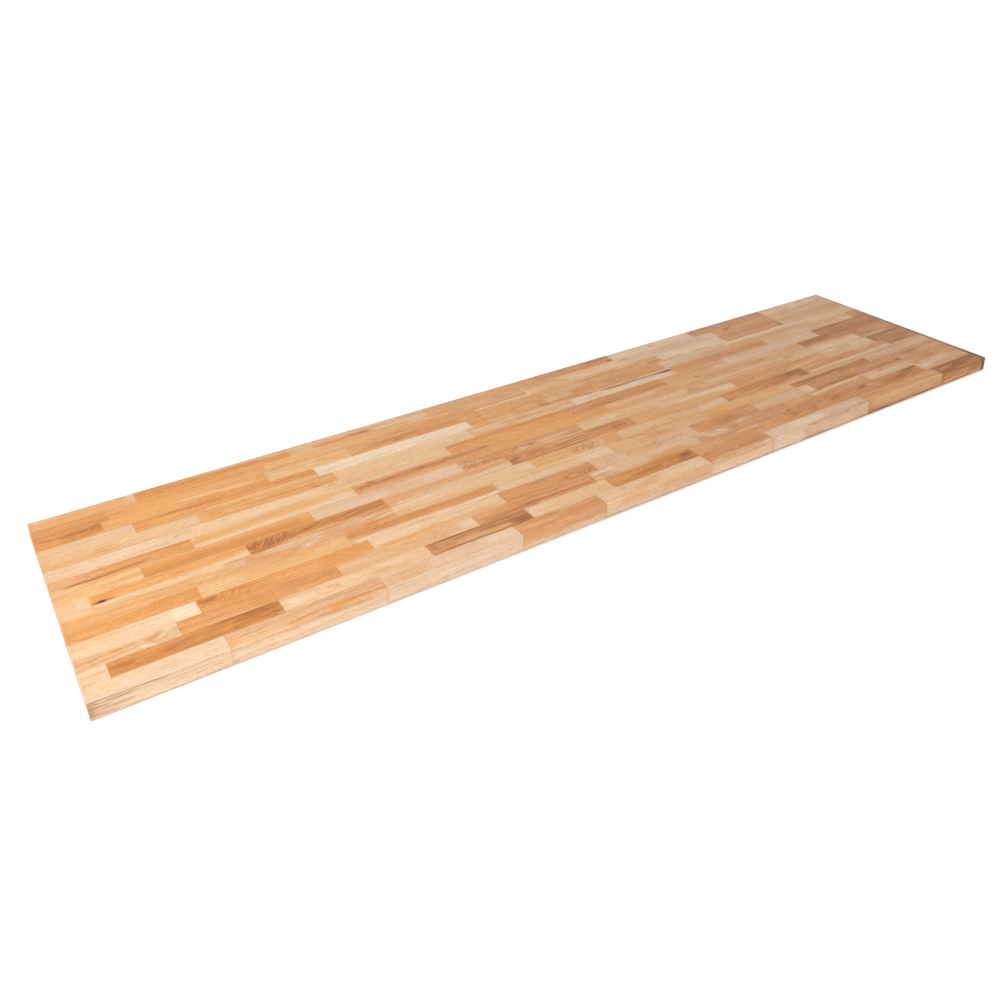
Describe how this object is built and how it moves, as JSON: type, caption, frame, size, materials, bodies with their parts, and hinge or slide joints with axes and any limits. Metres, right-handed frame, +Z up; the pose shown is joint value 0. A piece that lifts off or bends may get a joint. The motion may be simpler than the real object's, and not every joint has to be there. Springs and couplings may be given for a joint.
{
  "type": "butcher block countertop",
  "caption": "Rectangular worktop slab of solid hardwood staves glued in staggered rows, with flat faces and lightly rounded edges.",
  "frame": {"origin": "middle of the flat underside", "axes": "+X along the length, +Y from the front edge to the back edge, +Z up out of the working face"},
  "size_m": [2.4892, 0.635, 0.0381],
  "materials": {
    "hardwood_staves": "sanded smooth, satin clear finish, staves mixed from pale cream to rust brown"
  },
  "bodies": {
    "root": {"stave_row_01": "hardwood_staves", "stave_row_02": "hardwood_staves", "stave_row_03": "hardwood_staves", "stave_row_04": "hardwood_staves", "stave_row_05": "hardwood_staves", "stave_row_06": "hardwood_staves", "stave_row_07": "hardwood_staves", "stave_row_08": "hardwood_staves", "stave_row_09": "hardwood_staves", "stave_row_10": "hardwood_staves", "stave_row_11": "hardwood_staves", "stave_row_12": "hardwood_staves", "stave_row_13": "hardwood_staves", "stave_row_14": "hardwood_staves", "stave_row_15": "hardwood_staves"}
  },
  "joints": []
}
